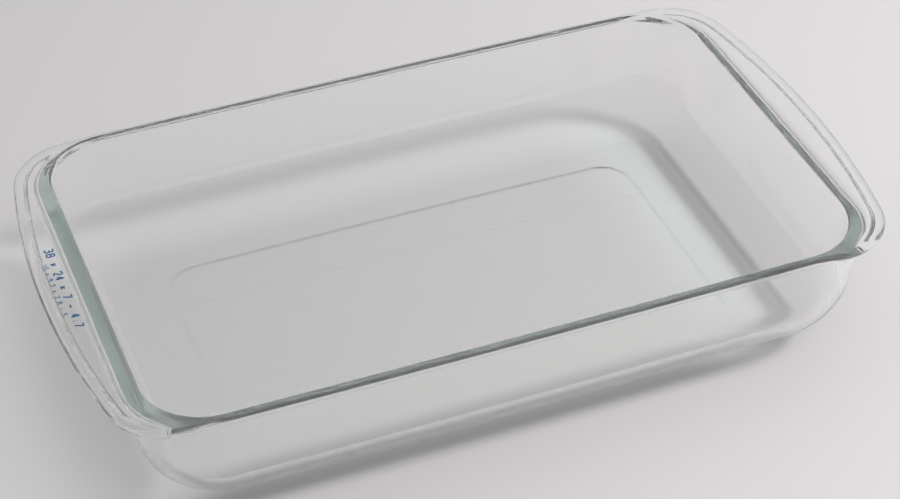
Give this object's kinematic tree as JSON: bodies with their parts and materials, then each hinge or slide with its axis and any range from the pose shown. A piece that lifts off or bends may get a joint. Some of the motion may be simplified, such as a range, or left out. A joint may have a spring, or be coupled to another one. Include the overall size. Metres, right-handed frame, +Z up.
{
  "type": "lasagna dish",
  "caption": "Deep rectangular clear glass oven dish with rounded corners, a beaded rim that widens into a bowed grip handle at each end, and a small printed row of figures on one handle",
  "frame": {"origin": "centre of the base, on the surface the dish stands on", "axes": "+Z up out of the open top, +X along the dish towards one handle, +Y across it; the printed handle is at -X"},
  "size_m": [0.434, 0.245, 0.0721],
  "materials": {
    "clear_glass": "fire-polished pressed soda-lime glass, faintly green through a long path",
    "enamel_print": "fired-on enamel, thin and slightly glossy"
  },
  "bodies": {
    "root": {"glass_dish": "clear_glass", "size_marking": "enamel_print"}
  },
  "joints": []
}
